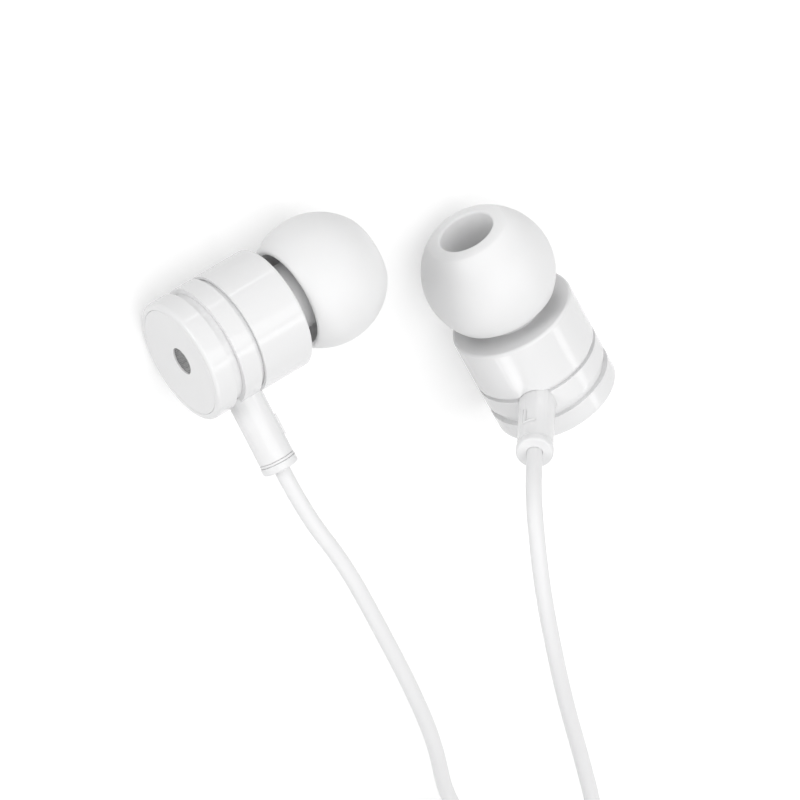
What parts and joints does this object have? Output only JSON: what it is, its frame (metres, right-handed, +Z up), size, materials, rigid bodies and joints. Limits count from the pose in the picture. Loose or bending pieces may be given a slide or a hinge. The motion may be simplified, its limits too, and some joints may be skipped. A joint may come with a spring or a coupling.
{
  "type": "wired earphones",
  "caption": "White in-ear earphones with round stepped shells, stems, soft ear tips and a thin lead put away in coils",
  "frame": {"origin": "on the table top, under the middle of the box round the two earbuds", "axes": "+X along the right earbud's axis towards its ear tip, +Z up from the table, -Y towards the leads"},
  "size_m": [0.0512, 0.1261, 0.0223],
  "materials": {
    "shell_white": "glossy white ABS",
    "collar_white": "satin white",
    "tip_silicone": "soft white silicone",
    "cable_jacket": "satin white elastomer",
    "vent_mesh": "fine grey screen",
    "nozzle_mesh": "woven steel mesh",
    "damper_foam": "open foam",
    "driver_plastic": "black moulding",
    "driver_steel": "zinc plated",
    "magnet": "nickel plated",
    "coil_copper": "wound enamelled copper",
    "diaphragm_film": "clear polyester film",
    "gasket_rubber": "soft seal",
    "board_green": "solder mask",
    "plug_contact": "nickel plated contacts",
    "plug_insulator": "white ring"
  },
  "bodies": {
    "earphones": {"right_rear_cap": "shell_white", "right_vent_screen": "vent_mesh", "right_rear_housing": "shell_white", "right_stem_housing": "shell_white", "right_stem_collar": "collar_white", "right_cable_knot": "cable_jacket", "right_front_housing": "shell_white", "right_nozzle_mesh": "nozzle_mesh", "right_nozzle_damper": "damper_foam", "right_driver_frame": "driver_plastic", "right_driver_yoke": "driver_steel", "right_driver_magnet": "magnet", "right_driver_plate": "driver_steel", "right_voice_coil": "coil_copper", "right_diaphragm": "diaphragm_film", "right_driver_gasket": "gasket_rubber", "right_driver_cover": "driver_plastic", "right_driver_board": "board_green", "left_rear_cap": "shell_white", "left_vent_screen": "vent_mesh", "left_rear_housing": "shell_white", "left_stem_housing": "shell_white", "left_stem_collar": "collar_white", "left_cable_knot": "cable_jacket", "left_front_housing": "shell_white", "left_nozzle_mesh": "nozzle_mesh", "left_nozzle_damper": "damper_foam", "left_driver_frame": "driver_plastic", "left_driver_yoke": "driver_steel", "left_driver_magnet": "magnet", "left_driver_plate": "driver_steel", "left_voice_coil": "coil_copper", "left_diaphragm": "diaphragm_film", "left_driver_gasket": "gasket_rubber", "left_driver_cover": "driver_plastic", "left_driver_board": "board_green", "right_cable_run": "cable_jacket", "right_cable_coil": "cable_jacket", "right_cable_tail": "cable_jacket", "left_cable_run": "cable_jacket", "left_cable_coil": "cable_jacket", "left_cable_tail": "cable_jacket", "main_cable_lead": "cable_jacket", "main_cable_coil": "cable_jacket", "main_cable_tail": "cable_jacket", "cable_splitter": "collar_white", "plug_tip": "plug_contact", "plug_insulator_front": "plug_insulator", "plug_ring": "plug_contact", "plug_insulator_rear": "plug_insulator", "plug_sleeve": "plug_contact", "plug_handle": "shell_white", "plug_relief": "cable_jacket"},
    "right_tip": {"right_ear_tip": "tip_silicone"},
    "left_tip": {"left_ear_tip": "tip_silicone"}
  },
  "joints": [
    {"name": "right_tip_pull_off", "type": "slide", "parent": "earphones", "child": "right_tip", "axis": [0.9999, 0, 0.0165], "range_m": [0, 0.0038]},
    {"name": "left_tip_pull_off", "type": "slide", "parent": "earphones", "child": "left_tip", "axis": [-0.1874, 0.9822, 0.0165], "range_m": [0, 0.0038]}
  ]
}
